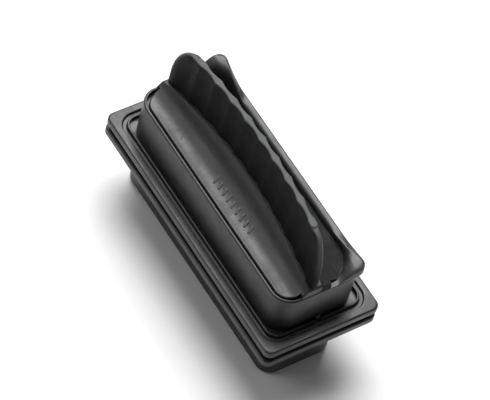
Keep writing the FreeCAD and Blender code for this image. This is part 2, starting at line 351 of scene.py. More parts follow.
def moulded_finish(name, colour, worn_and_highlight_colour, gloss, grain, depth, wear_highlight_width, dustiness,
                   shine=0.5, zone=None, zone_colour=None, zone_gloss=0.0):
    """Satin plastic or rubber: spark grain, edges lightened as rub wear and as a painted
    highlight, scratches and faint dust. Gloss is the lowest and highest roughness. A zone is a
    named attribute of the piece, where the colour is painted darker as painted shade or lighter
    as a painted highlight, and the roughness changes by zone_gloss."""
    material, tree, shader, place = start_finish(name)
    texture = use_effect(tree, grain_effect, place, Scale=grain)
    edge_wear_highlight = use_effect(tree, edge_wear_highlight_effect, place, Width=wear_highlight_width)["Mask"]
    scratches = use_effect(tree, scratch_effect, place)["Mask"]
    dust = use_effect(tree, dust_effect, place)["Mask"]
    shade = tint(tree, texture["Patches"], tuple(0.86 * part for part in colour), colour)
    rough = add_node(tree, "ShaderNodeMapRange", None,
                     {"Value": texture["Patches"], "To Min": gloss[0],
                      "To Max": gloss[1]}).outputs[0]
    if zone:
        area = add_node(tree, "ShaderNodeAttribute", {"attribute_name": zone}).outputs["Fac"]
        shade = tint(tree, area, shade, zone_colour)
        rough = calculate(tree, "MULTIPLY_ADD", area, zone_gloss, rough)
    # Edges are painted lighter as rub wear and as a painted highlight; scratches and dust are
    # real marks.
    for mask, cover, over, gloss_change in (
            (edge_wear_highlight, 0.6, worn_and_highlight_colour, -0.08), (scratches, 0.2, worn_and_highlight_colour, 0.12),
            (dust, dustiness, (0.32, 0.31, 0.29), 0.2)):
        shade = tint(tree, calculate(tree, "MULTIPLY", mask, cover), shade, over)
        rough = calculate(tree, "MULTIPLY_ADD", mask, gloss_change, rough)
    height = calculate(tree, "MULTIPLY_ADD", scratches, -0.5, texture["Height"])
    tree.links.new(shade, shader.inputs["Base Color"])
    tree.links.new(rough, shader.inputs["Roughness"])
    shader.inputs["Specular IOR Level"].default_value = shine
    raise_surface(tree, shader, height, 0.5, depth)
    return material


def fabric_finish(name, dark, light, scale, depth, sheen):
    """Felt, foam backing and hook fabric: matted strands in two tones."""
    material, tree, shader, place = start_finish(name)
    fibres = use_effect(tree, fibre_effect, place, Scale=scale)
    shade = tint(tree, spread(tree, fibres["Tone"], 0.35, 0.65), dark, light)
    # Low spots between the strands are painted darker: painted shade.
    shade = tint(tree, spread(tree, fibres["Height"], 0.62, 0.45), shade,
                 tuple(0.45 * part for part in dark))
    tree.links.new(shade, shader.inputs["Base Color"])
    rough = add_node(tree, "ShaderNodeMapRange", None,
                     {"Value": fibres["Tone"], "To Min": 0.86, "To Max": 0.98})
    tree.links.new(rough.outputs[0], shader.inputs["Roughness"])
    shader.inputs["Sheen Weight"].default_value = sheen
    shader.inputs["Sheen Roughness"].default_value = 0.5
    raise_surface(tree, shader, fibres["Height"], 0.9, depth)
    return material


def foam_finish():
    material, tree, shader, place = start_finish("closed-cell foam")
    cells = add_node(tree, "ShaderNodeTexVoronoi", {"feature": "SMOOTH_F1"},
                     {"Vector": place, "Scale": 1300.0, "Randomness": 0.9})
    # The pits at the cell middles are painted darker: painted shade.
    shade = tint(tree, spread(tree, cells.outputs["Distance"], 0.1, 0.7), (0.05, 0.05, 0.055),
                 (0.15, 0.15, 0.16))
    tree.links.new(shade, shader.inputs["Base Color"])
    rough = add_node(tree, "ShaderNodeMapRange", None,
                     {"Value": cells.outputs["Distance"], "To Min": 0.95, "To Max": 0.8})
    tree.links.new(rough.outputs[0], shader.inputs["Roughness"])
    raise_surface(tree, shader, cells.outputs["Distance"], 0.8, 0.00025)
    return material


def ferrite_finish():
    """Pressed and sintered magnet: dark grey with bright specks and grinding marks."""
    material, tree, shader, place = start_finish("sintered ferrite")
    specks = add_node(tree, "ShaderNodeTexNoise", None,
                      {"Vector": place, "Scale": 2200.0, "Detail": 4.0, "Roughness": 0.7})
    ground = use_effect(tree, scratch_effect, place, Density=320.0)["Mask"]
    shade = tint(tree, spread(tree, specks.outputs[0], 0.52, 0.66), (0.07, 0.07, 0.075),
                 (0.2, 0.2, 0.21))
    shade = tint(tree, calculate(tree, "MULTIPLY", ground, 0.5), shade, (0.26, 0.26, 0.27))
    tree.links.new(shade, shader.inputs["Base Color"])
    rough = add_node(tree, "ShaderNodeMapRange", None,
                     {"Value": specks.outputs[0], "To Min": 0.72, "To Max": 0.5})
    tree.links.new(rough.outputs[0], shader.inputs["Roughness"])
    raise_surface(tree, shader, specks.outputs[0], 0.5, 0.00006)
    return material


def zinc_finish():
    """Zinc-plated steel: rolled lines along X and a cloudy passivated tint."""
    material, tree, shader, place = start_finish("zinc-plated steel")
    along = add_node(tree, "ShaderNodeMapping", None, {"Vector": place, "Scale": (0.02, 1, 1)})
    lines = add_node(tree, "ShaderNodeTexNoise", None,
                     {"Vector": along.outputs["Vector"], "Scale": 2400.0, "Detail": 3.0})
    clouds = add_node(tree, "ShaderNodeTexNoise", None,
                      {"Vector": place, "Scale": 120.0, "Detail": 4.0})
    shade = tint(tree, clouds.outputs[0], (0.5, 0.52, 0.56), (0.64, 0.62, 0.56))
    tree.links.new(shade, shader.inputs["Base Color"])
    rough = add_node(tree, "ShaderNodeMapRange", None,
                     {"Value": lines.outputs[0], "To Min": 0.26, "To Max": 0.46})
    tree.links.new(rough.outputs[0], shader.inputs["Roughness"])
    shader.inputs["Metallic"].default_value = 1.0
    raise_surface(tree, shader, lines.outputs[0], 0.25, 0.00003)
    return material


def film_finish():
    """Double-sided tape: pale film with trapped air specks."""
    material, tree, shader, place = start_finish("adhesive film")
    air = add_node(tree, "ShaderNodeTexVoronoi", None, {"Vector": place, "Scale": 420.0})
    haze = add_node(tree, "ShaderNodeTexNoise", None,
                    {"Vector": place, "Scale": 150.0, "Detail": 3.0})
    shade = tint(tree, haze.outputs[0], (0.66, 0.63, 0.56), (0.78, 0.76, 0.7))
    shade = tint(tree, spread(tree, air.outputs["Distance"], 0.2, 0.12), shade,
                 (0.88, 0.87, 0.84))
    tree.links.new(shade, shader.inputs["Base Color"])
    rough = add_node(tree, "ShaderNodeMapRange", None,
                     {"Value": haze.outputs[0], "To Min": 0.25, "To Max": 0.45})
    tree.links.new(rough.outputs[0], shader.inputs["Roughness"])
    raise_surface(tree, shader, air.outputs["Distance"], 0.2, 0.00004)
    return material


finishes = {
    "case_plastic": moulded_finish(
        "satin black case plastic", (0.016, 0.0165, 0.0165), (0.07, 0.071, 0.071),
        gloss=(0.36, 0.48), grain=3800, depth=0.00004, wear_highlight_width=0.0004, dustiness=0.1),
    # Its zone paints the far scoop beyond the grip near-black: painted shade.
    "handle_plastic": moulded_finish(
        "satin charcoal panel plastic", (0.022, 0.0225, 0.0225), (0.08, 0.082, 0.082),
        gloss=(0.36, 0.46), grain=4200, depth=0.00004, wear_highlight_width=0.0004, dustiness=0.1,
        zone="painted_scoop_shade", zone_colour=(0.003, 0.003, 0.0035), zone_gloss=0.45),
    # Its zone paints the crown and nose ends lighter: a painted highlight, with some finger wear.
    "grip_rubber": moulded_finish(
        "soft black grip rubber", (0.003, 0.003, 0.0033), (0.03, 0.031, 0.032),
        gloss=(0.55, 0.68), grain=4600, depth=0.00005, wear_highlight_width=0.0004, dustiness=0.03,
        shine=0.15, zone="rub_and_highlight", zone_colour=(0.085, 0.087, 0.088), zone_gloss=-0.15),
    "gasket_rubber": moulded_finish(
        "gasket rubber", (0.02, 0.02, 0.021), (0.05, 0.05, 0.052),
        gloss=(0.6, 0.75), grain=3200, depth=0.00005, wear_highlight_width=0.0002, dustiness=0.1),
    "frame_plastic": moulded_finish(
        "grey frame plastic", (0.07, 0.07, 0.074), (0.15, 0.15, 0.155),
        gloss=(0.45, 0.6), grain=2400, depth=0.00006, wear_highlight_width=0.0004, dustiness=0.15),
    "felt": fabric_finish("pressed felt", (0.03, 0.03, 0.032), (0.062, 0.062, 0.065),
                          scale=1700, depth=0.0003, sheen=0.35),
    "hook_fabric": fabric_finish("hook fabric", (0.04, 0.04, 0.042), (0.08, 0.08, 0.082),
                                 scale=1100, depth=0.0002, sheen=0.15),
    "scrub_fabric": fabric_finish("looped nylon", (0.035, 0.037, 0.036), (0.085, 0.09, 0.088),
                                  scale=1300, depth=0.00025, sheen=0.2),
    "foam": foam_finish(),
    "ferrite": ferrite_finish(),
    "yoke_steel": zinc_finish(),
    "tape": film_finish(),
}


# ---- Cases and flanges -----------------------------------------------------------
def wall_row(half, grow, corner, level, softness=0.0):
    """Profile row: an outline grown by an amount, its corner, its level and its softness."""
    return (half.x + grow, half.y + grow, corner, level, softness)


def wet_case():
    """Hollow case that carries the wet half's magnets."""
    corner, wall, rebate, bottom_round = 5 * mm, 2.4 * mm, 1.2 * mm, 1.6 * mm
    shape = bmesh.new()
    add_wall(shape, [
        wall_row(wet_half, -bottom_round - 0.2 * mm, corner - bottom_round, 0),
        wall_row(wet_half, 0, corner, 0, bottom_round),
        wall_row(wet_half, 0, corner, wet_top, 0.1 * mm),
        wall_row(wet_half, -rebate, corner - rebate, wet_top, 0.05 * mm),
        wall_row(wet_half, -rebate, corner - rebate, wet_top - mm, 0.05 * mm),
        wall_row(wet_half, -wall, corner - wall, wet_top - mm, 0.05 * mm),
        wall_row(wet_half, -wall, corner - wall, 2 * mm)])
    return finish_piece("wet_case", shape)


def wet_flange():
    """Flange of the wet half with the pad's recess in its upper face."""
    corner, edge = 2.5 * mm, 0.6 * mm
    recess = pad_half + Vector((pad_play, pad_play))
    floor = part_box("hook_sheet")[0][2]
    shape = bmesh.new()
    add_wall(shape, [
        wall_row(wet_half, 0.5 * mm, 4 * mm, wet_top),
        wall_row(flange_half, 0, corner, wet_top, edge),
        wall_row(flange_half, 0, corner, wet_flange_top, edge),
        wall_row(recess, 0, 1.5 * mm, wet_flange_top, 0.12 * mm),
        wall_row(recess, 0, 1.5 * mm, floor)])
    return finish_piece("wet_flange", shape)


def cut_box(piece, low, high):
    """Takes a box out of a piece."""
    shape = bmesh.new()
    middle, size = (Vector(low) + Vector(high)) / 2, Vector(high) - Vector(low)
    bmesh.ops.create_cube(shape, size=1, matrix=Matrix.LocRotScale(middle, None, size))
    cutter = finish_piece("cutter", shape)
    cut = piece.modifiers.new("cut", "BOOLEAN")
    cut.object, cut.solver = cutter, "EXACT"
    piece.data = bpy.data.meshes.new_from_object(
        piece.evaluated_get(bpy.context.evaluated_depsgraph_get()))
    piece.modifiers.clear()
    bpy.data.objects.remove(cutter)


def dry_flange():
    """Flange of the dry half: flat band, groove, raised lip and the moat round the case."""
    corner, edge, lip_corner = 2.5 * mm, 0.6 * mm, 3.5 * mm
    gap, lip, groove = 0.7 * mm, 0.8 * mm, 1.5 * mm
    opening, opening_corner = -2.5 * mm, 4.5 * mm
    notch_half, notch_start = 1.2 * mm, 0.5 * mm
    recess = pad_half + Vector((pad_play, pad_play))
    recess_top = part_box("felt_tape")[1][2]
    shape = bmesh.new()
    add_wall(shape, [
        wall_row(recess, 0, 1.5 * mm, recess_top),
        wall_row(recess, 0, 1.5 * mm, flange_low, 0.12 * mm),
        wall_row(flange_half, 0, corner, flange_low, edge),
        wall_row(flange_half, 0, corner, deck, edge),
        wall_row(case_half, gap + lip + groove, lip_corner + lip + groove, deck, 0.25 * mm),
        wall_row(case_half, gap + lip + groove, lip_corner + lip + groove, moat_floor, 0.35 * mm),
        wall_row(case_half, gap + lip, lip_corner + lip, moat_floor, 0.35 * mm),
        wall_row(case_half, gap + lip, lip_corner + lip, lip_top, 0.32 * mm),
        wall_row(case_half, gap, lip_corner, lip_top, 0.32 * mm),
        wall_row(case_half, gap, lip_corner, moat_floor, 0.05 * mm),
        wall_row(case_half, opening, opening_corner, moat_floor, 0.05 * mm),
        wall_row(case_half, opening, opening_corner, deck)])
    piece = finish_piece("dry_flange", shape)
    for end in (-1, 1):
        inner, outer = case_half.x + notch_start, case_half.x + gap + lip + notch_start
        low_x, high_x = sorted((end * inner, end * outer))
        cut_box(piece, (low_x, -notch_half, moat_floor), (high_x, notch_half, lip_top + mm))
    return piece


def dry_case():
    """Upright case wall with its soft rim and the snap tabs on its short sides."""
    wall = 2.4 * mm
    tab_half, tab_height, tab_root, tab_soft = 0.8 * mm, 3 * mm, 0.4 * mm, 0.25 * mm
    shape = bmesh.new()
    add_wall(shape, [
        wall_row(case_half, -wall, case_corner - wall, moat_floor),
        wall_row(case_half, 0, case_corner, moat_floor, 0.1 * mm),
        wall_row(case_half, 0, case_corner, rim, 0.7 * mm),
        wall_row(case_half, -rim_land, case_corner - rim_land, rim, 0.25 * mm),
        wall_row(case_half, -rim_land, case_corner - rim_land, panel_low, 0.05 * mm),
        wall_row(case_half, -wall, case_corner - wall, panel_low, 0.05 * mm),
        wall_row(case_half, -wall, case_corner - wall, moat_floor + 0.1 * mm)], endless=True)
    tab_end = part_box("outer_case")[1][0]
    for end in (-1, 1):
        low_x, high_x = sorted((end * (case_half.x - tab_root), end * tab_end))
        add_block(shape, (low_x, -tab_half, moat_floor),
                  (high_x, tab_half, moat_floor + tab_height), tab_soft)
    return finish_piece("dry_case", shape)


# ---- Handle panel ----------------------------------------------------------------
ledge_end = grip_low.z
ledge_rise = 4.3 * mm
spine_end = case_half.x - 0.3 * mm
spine_half = 2.5 * mm
flank_start = case_half.y - panel_inset - 0.8 * mm
tongue_left = 1.6 * mm       # how far the tongues reach past the ledge on each side
tongue_right = 4.0 * mm
flank_steps = 34
ledge_steps = 6
edge_round = 0.5 * mm
tongue_round = 0.7 * mm
skirt_low = panel_low + 0.9 * mm


def bow(x):
    """Y of the grip's middle plane: the grip is bowed across the panel."""
    return (-0.6 - 3.4 * (x / spine_end) ** 2) * mm


def ledge(x):
    """Height of the arched ledge under the grip."""
    return ledge_end + ledge_rise * (1 - (x / spine_end) ** 2)


def scoop_height(x, y):
    """Height of the panel: level floor, hollow flanks and the ledge between them."""
    off = y - bow(x)
    side = 1 if off > 0 else -1
    if abs(off) <= spine_half:
        return ledge(x)
    run = flank_start - side * bow(x) - spine_half
    rise = ledge(x) - scoop_floor
    radius = (run ** 2 + rise ** 2) / (2 * rise)
    climb = flank_start - side * y
    if climb <= 0:
        return scoop_floor
    return scoop_floor + radius - math.sqrt(max(radius ** 2 - climb ** 2, 0))


def plan_depth(x, y, half, corner):
    """How far a point lies inside a round-cornered rectangle."""
    across = abs(x) - half.x + corner
    aside = abs(y) - half.y + corner
    outside = math.hypot(max(across, 0), max(aside, 0))
    return corner - outside - min(max(across, aside), 0)


def edge_drop(depth, softness):
    """How far a rounded edge lies below the face at a depth inside it."""
    reach = min(max(softness - depth, 0), softness)
    return softness - math.sqrt(softness ** 2 - reach ** 2)


def eased(first, last, count, power=2.0):
    """Values from first to last that crowd towards both."""
    values = []
    for index in range(count + 1):
        part = 2 * index / count - 1
        part = math.copysign(1 - (1 - abs(part)) ** power, part)
        values.append(first + (last - first) * (part + 1) / 2)
    return values


def panel_rows():
    """X of each cross-section and whether it lies on the tongue that laps the rim."""
    plate = case_half.x - panel_inset
    inner = eased(-plate, plate, 150, 1.5)
    tongue = eased(plate, spine_end, 10)
    rows = [(-x, True) for x in reversed(tongue)] + [(x, False) for x in inner]
    return rows + [(x, True) for x in tongue]


def panel_surface(shape):
    """The upper face of the panel, closed by a skirt and a flat underside."""
    plate = case_half - Vector((panel_inset, panel_inset))
    plate_corner = case_corner - panel_inset
    grid = []
    for x, lapped in panel_rows():
        middle = bow(x)
        if lapped:
            left = middle - spine_half - tongue_left
            right = middle + spine_half + tongue_right
        else:
            limit = plate.y - plate_corner + math.sqrt(
                max(plate_corner ** 2 - max(abs(x) - plate.x + plate_corner, 0) ** 2, 0))
            left, right = -limit, limit
        flat = spine_half - 1e-6
        across = (eased(left, middle - spine_half, flank_steps, 1.6)
                  + eased(middle - flat, middle + flat, ledge_steps, 1.0)
                  + eased(middle + spine_half, right, flank_steps, 1.6))
        row = []
        for y in across:
            height = scoop_height(x, y)
            if lapped:
                height -= edge_drop(spine_end - abs(x), tongue_round)
            else:
                above = min(max((height - rim + 0.2 * mm) / (0.3 * mm), 0), 1)
                depth = plan_depth(x, y, plate, plate_corner)
                height -= edge_drop(depth, edge_round) * (1 - above)
            row.append(shape.verts.new((x, y, height)))
        grid.append(row)
    for first, second in zip(grid, grid[1:]):
        for index in range(len(first) - 1):
            shape.faces.new((first[index], second[index], second[index + 1], first[index + 1]))
    border = [edge for edge in shape.edges if len(edge.link_faces) == 1]
    skirt = bmesh.ops.extrude_edge_only(shape, edges=border)["geom"]
    for corner in skirt:
        if isinstance(corner, bmesh.types.BMVert):
            corner.co.z = skirt_low
    rest = [edge for edge in shape.edges if len(edge.link_faces) == 1]
    bmesh.ops.holes_fill(shape, edges=rest, sides=0)


bank_width = 2.4 * mm
bank_start = 1.5 * mm
bank_corner = 3.0 * mm
bank_inner_corner = 9.0 * mm
bank_rise = 1.6 * mm
ear_rises = {-1: 6.5 * mm, 1: 3.5 * mm}
bank_corner_steps = 30
bank_side_steps = 24
bank_section = (         # part of the way in from the outside, part of the bank's height
    (0.0, 0.0), (0.0, 0.3), (0.01, 0.6), (0.03, 0.8), (0.08, 0.93), (0.16, 0.99), (0.26, 1.0),
    (0.4, 0.99), (0.55, 0.97), (0.7, 0.94), (0.85, 0.88), (1.0, 0.78), (1.1, 0.62),
    (1.17, 0.35), (1.2, 0.0))


def smooth_step(value):
    value = min(max(value, 0), 1)
    return value * value * (3 - 2 * value)


def bank_station(share, end):
    """Outer and inner point of the bank; share runs from the short side (0) past the corner
    (1) to mid length (2)."""
    inner = case_half - Vector((bank_width, bank_width))
    outer_bend = case_half - Vector((bank_corner, bank_corner))
    inner_bend = inner - Vector((bank_inner_corner, bank_inner_corner))
    if share > 1:
        along = share - 1
        return (Vector((end * outer_bend.x * (1 - along), case_half.y)),
                Vector((end * inner_bend.x * (1 - along), inner.y)))
    straight = outer_bend.y - bank_start
    run = share * (straight + bank_corner * math.pi / 2)
    turn = max(run - straight, 0) / bank_corner
    outer = Vector((outer_bend.x + bank_corner * math.cos(turn),
                    min(bank_start + run, outer_bend.y) + bank_corner * math.sin(turn)))
    first = math.asin((bank_start - inner_bend.y) / bank_inner_corner)
    turn = first + share * (math.pi / 2 - first)
    return (Vector((end * outer.x, outer.y)),
            Vector((end * (inner_bend.x + bank_inner_corner * math.cos(turn)),
                    inner_bend.y + bank_inner_corner * math.sin(turn))))


def bank_height(share, end):
    rise = smooth_step((share - 0.2) / 0.5) ** 0.8
    settle = smooth_step((share - 0.86) / 0.4)
    return ear_rises[end] * rise * (1 - settle) + bank_rise * settle


def panel_bank(shape):
    """Raised far side of the panel: a low wall that swells into an ear at each end."""
    shares = eased(0, 1, bank_corner_steps, 1.2)
    shares += [1 + (step + 1) / bank_side_steps for step in range(bank_side_steps)]
    stations = [(share, -1) for share in shares] + [(share, 1) for share in shares[-2::-1]]
    rings = []
    for share, end in stations:
        outer, inner = bank_station(share, end)
        lift = bank_height(share, end)
        ring = []
        for part, height in bank_section:
            place = outer.lerp(inner, part)
            base = rim if part < 0.5 else scoop_floor - 0.2 * mm
            ring.append(shape.verts.new((place.x, place.y, base + height * (rim + lift - base))))
        rings.append(ring)
    for first, second in zip(rings, rings[1:]):
        for index, corner in enumerate(first):
            following = (index + 1) % len(first)
            shape.faces.new((corner, first[following], second[following], second[index]))
    shape.faces.new(list(reversed(rings[0])))
    shape.faces.new(rings[-1])


bars_shift = 5 * mm
bars_slant = math.radians(24)
bars_drop_from = rim + 30 * mm


def raised_bars_tree():
    """Row of raised slanted bars laid on the panel's flanks, in place of any lettering."""
    tree, given, out = new_group(
        "raised bars", "GeometryNodeTree",
        [("Geometry", "NodeSocketGeometry", None), ("Count", "NodeSocketInt", 9),
         ("Pitch", "NodeSocketFloat", 2.6 * mm), ("Offset", "NodeSocketFloat", 9.4 * mm),
         ("Length", "NodeSocketFloat", 3.0 * mm), ("Width", "NodeSocketFloat", 0.9 * mm),
         ("Height", "NodeSocketFloat", 0.6 * mm), ("Finish", "NodeSocketMaterial", None)],
        [("Geometry", "NodeSocketGeometry")])
    joined = tree.nodes.new("GeometryNodeJoinGeometry")
    bar_size = add_node(tree, "ShaderNodeCombineXYZ", None,
                        {"X": given.outputs["Width"], "Y": given.outputs["Length"],
                         "Z": given.outputs["Height"]})
    bar = add_node(tree, "GeometryNodeMeshCube", None, {"Size": bar_size.outputs[0]})
    soft_bar = add_node(tree, "GeometryNodeSubdivisionSurface", None,
                        {"Mesh": bar.outputs["Mesh"], "Level": 2, "Edge Crease": 0.55})
    reach = calculate(tree, "MULTIPLY",
                      calculate(tree, "SUBTRACT", given.outputs["Count"], 1.0),
                      calculate(tree, "MULTIPLY", given.outputs["Pitch"], -0.5))
    for side in (-1, 1):
        start = add_node(tree, "ShaderNodeCombineXYZ", None,
                         {"X": calculate(tree, "ADD", reach, bars_shift),
                          "Y": calculate(tree, "MULTIPLY", given.outputs["Offset"], side),
                          "Z": bars_drop_from})
        step = add_node(tree, "ShaderNodeCombineXYZ", None, {"X": given.outputs["Pitch"]})
        row = add_node(tree, "GeometryNodeMeshLine", None,
                       {"Count": given.outputs["Count"], "Start Location": start.outputs[0],
                        "Offset": step.outputs[0]})
        drop = add_node(tree, "GeometryNodeRaycast", None,
                        {"Target Geometry": given.outputs["Geometry"],
                         "Ray Direction": (0, 0, -1), "Ray Length": 0.1})
        turn = add_node(tree, "FunctionNodeAlignRotationToVector", {"axis": "Z"},
                        {"Vector": drop.outputs["Hit Normal"]})
        placed = add_node(tree, "GeometryNodeInstanceOnPoints", None,
                          {"Points": row.outputs["Mesh"],
                           "Instance": soft_bar.outputs["Mesh"],
                           "Rotation": turn.outputs["Rotation"]})
        slanted = add_node(tree, "GeometryNodeRotateInstances", None,
                           {"Instances": placed.outputs["Instances"],
                            "Rotation": (0, 0, -bars_slant * side)})
        landed = add_node(tree, "GeometryNodeSetPosition", None,
                          {"Geometry": slanted.outputs["Instances"],
                           "Position": drop.outputs["Hit Position"]})
        tree.links.new(landed.outputs["Geometry"], joined.inputs["Geometry"])
    tree.links.new(given.outputs["Geometry"], joined.inputs["Geometry"])
    real = add_node(tree, "GeometryNodeRealizeInstances", None,
                    {"Geometry": joined.outputs["Geometry"]})
    dressed = add_node(tree, "GeometryNodeSetMaterial", None,
                       {"Geometry": real.outputs["Geometry"],
                        "Material": given.outputs["Finish"]})
    tree.links.new(dressed.outputs["Geometry"], out.inputs["Geometry"])
    return tree


def grow(piece, tree, **values):
    """Runs a node tree on the piece and keeps the result as a plain mesh."""
    modifier = piece.modifiers.new(tree.name, "NODES")
    modifier.node_group = tree
    for item in tree.interface.items_tree:
        if item.item_type == "SOCKET" and item.in_out == "INPUT" and item.name in values:
            modifier[item.identifier] = values[item.name]
    piece.data = bpy.data.meshes.new_from_object(
        piece.evaluated_get(bpy.context.evaluated_depsgraph_get()))
    piece.modifiers.clear()
    return piece


def handle_scoops():
    shape = bmesh.new()
    painted_scoop_shade = shape.verts.layers.float.new("painted_scoop_shade")
    panel_surface(shape)
    # The far scoop beyond the grip is marked to be painted near-black: painted shade.
    for corner in shape.verts:
        corner[painted_scoop_shade] = smooth_step((corner.co.y - bow(corner.co.x) - spine_half) / (0.4 * mm))
    panel_bank(shape)
    seat = case_half - Vector((rim_land + 0.1 * mm, rim_land + 0.1 * mm))
    corner = case_corner - rim_land - 0.1 * mm
    add_wall(shape, [wall_row(seat, 0, corner, panel_low),
                     wall_row(seat, 0, corner, panel_low + mm)])
    piece = finish_piece("handle_scoops", shape, 30)
    return grow(piece, raised_bars_tree(), Finish=finishes["handle_plastic"])


# ---- Grip ------------------------------------------------------------------------
grip_half_length = grip_high.x
crown = grip_high.z
crown_drop = 1.0 * mm
corner_length = 9.0 * mm
corner_height = 15.3 * mm
sole_half = 1.9 * mm
crown_half = 1.25 * mm
crown_round = 0.4 * mm
nose_length = 3.4 * mm
straight_half = 28 * mm
flute_fade = 6 * mm          # length over which the last flutes die out towards the crown
length_steps = 236
face_rings = 34
crown_rings = 7


def grip_ring(level, trim, drop):
    """One ring of the bare grip, from sole (level 0) to crown (level 1)."""
    shoulder = ledge_end + level * (crown - crown_drop - ledge_end)
    climb = min(max((shoulder - crown + crown_drop + corner_height) / corner_height, 0), 1)
    half_length = grip_half_length - corner_length * (1 - math.sqrt(1 - climb ** 2)) - trim
    half = sole_half + (crown_half - sole_half) * level
    reach = grip_half_length - nose_length
    spots = eased(-grip_half_length, grip_half_length, length_steps, 1.25)
    sides = {-1: [], 1: []}
    for side in (-1, 1):
        for spot in spots:
            size = abs(spot)
            x = spot
            if size > straight_half:
                part = (size - straight_half) / (grip_half_length - straight_half)
                x = math.copysign(straight_half + part * (half_length - straight_half), spot)
            nose = math.sqrt(max(1 - (max(size - reach, 0) / nose_length) ** 2, 0))
            fluted = 1 - level * smooth_step((size - reach + flute_fade) / flute_fade)
            top = crown - crown_drop * (x / grip_half_length) ** 2
            foot = ledge(x)
            sides[side].append(((x, bow(x) + side * max(half - trim, 0) * nose,
                                 foot + level * (top - foot) - drop), side * nose, fluted))
    return sides[-1] + sides[1][-2:0:-1]


def grip_blank():
    """The grip before its flutes: a bowed wall with round ends and a rounded crown. Its
    attributes say which way the flutes push and where the crown and nose ends are painted
    lighter, as a painted highlight with some finger wear."""
    shape = bmesh.new()
    outward = shape.verts.layers.float_vector.new("outward")
    rub_and_highlight = shape.verts.layers.float.new("rub_and_highlight")
    rings = [grip_ring(step / face_rings, 0, 0) for step in range(face_rings)]
    for step in range(crown_rings):
        turn = step / (crown_rings - 1) * math.pi / 2
        rings.append(grip_ring(1, crown_round * (1 - math.cos(turn)),
                               crown_round * (1 - math.sin(turn))))
    made = []
    for number, ring in enumerate(rings):
        row = []
        for place, side, fluted in ring:
            corner = shape.verts.new(place)
            corner[outward] = (0, side * fluted, 0)
            # The nose ends and the crown are painted lighter: a painted highlight, with some
            # finger wear.
            nose_rub_and_highlight = smooth_step(1.5 * (0.97 - abs(side))) * smooth_step(number / 20 - 0.3)
            corner[rub_and_highlight] = max(nose_rub_and_highlight, smooth_step((number - face_rings + 1) / 3))
            row.append(corner)
        made.append(row)
    count = len(made[0])
    for low, high in zip(made, made[1:]):
        for index in range(count):
            following = (index + 1) % count
            shape.faces.new((low[index], low[following], high[following], high[index]))
    half_count = count // 2
    for row in (made[0], made[-1]):
        for index in range(half_count):
            ladder = [row[index], row[index + 1], row[-index - 1], row[-index % count]]
            shape.faces.new(list(dict.fromkeys(ladder)))
    return finish_piece("fluted_grip", shape, 50)


def flutes_tree():
    """Hollows the grip's faces into upright flutes."""
    tree, given, out = new_group(
        "grip flutes", "GeometryNodeTree",
        [("Geometry", "NodeSocketGeometry", None), ("Count", "NodeSocketFloat", 10.0),
         ("Reach", "NodeSocketFloat", 40 * mm), ("Depth", "NodeSocketFloat", 0.6 * mm),
         ("Finish", "NodeSocketMaterial", None)],
        [("Geometry", "NodeSocketGeometry")])
    place = tree.nodes.new("GeometryNodeInputPosition")
    x = add_node(tree, "ShaderNodeSeparateXYZ", None, {0: place.outputs[0]}).outputs["X"]
    share = calculate(tree, "DIVIDE", x, given.outputs["Reach"])
    phase = calculate(tree, "MULTIPLY", calculate(tree, "MULTIPLY_ADD", share, 0.5, 0.5),
                      given.outputs["Count"])
    wave = calculate(tree, "SINE", calculate(tree, "MULTIPLY",
                                             calculate(tree, "FRACT", phase), math.pi))
    hollow = calculate(tree, "POWER", wave, 1.15)
    within = calculate(tree, "LESS_THAN", calculate(tree, "ABSOLUTE", share), 1.0)
    depth = calculate(tree, "MULTIPLY", calculate(tree, "MULTIPLY", hollow, within),
                      calculate(tree, "MULTIPLY", given.outputs["Depth"], -1.0))
    outward = add_node(tree, "GeometryNodeInputNamedAttribute", {"data_type": "FLOAT_VECTOR"},
                       {"Name": "outward"})
    push = add_node(tree, "ShaderNodeVectorMath", {"operation": "SCALE"},
                    {0: outward.outputs["Attribute"], "Scale": depth})
    moved = add_node(tree, "GeometryNodeSetPosition", None,
                     {"Geometry": given.outputs["Geometry"], "Offset": push.outputs["Vector"]})
    real = add_node(tree, "GeometryNodeRealizeInstances", None,
                    {"Geometry": moved.outputs["Geometry"]})
    dressed = add_node(tree, "GeometryNodeSetMaterial", None,
                       {"Geometry": real.outputs["Geometry"],
                        "Material": given.outputs["Finish"]})
    tree.links.new(dressed.outputs["Geometry"], out.inputs["Geometry"])
    return tree


def fluted_grip():
    return grow(grip_blank(), flutes_tree(), Finish=finishes["grip_rubber"],
                Reach=grip_half_length - nose_length)


# ---- Pads ------------------------------------------------------------------------
def pad_slab(name, low, high, softness):
    shape = bmesh.new()
    corner = 1.5 * mm
    add_wall(shape, [wall_row(pad_half, -softness - 0.2 * mm, corner, low),
                     wall_row(pad_half, 0, corner, low, softness),
                     wall_row(pad_half, 0, corner, high, softness),
                     wall_row(pad_half, -softness - 0.2 * mm, corner, high)])
    return finish_piece(name, shape, 60)


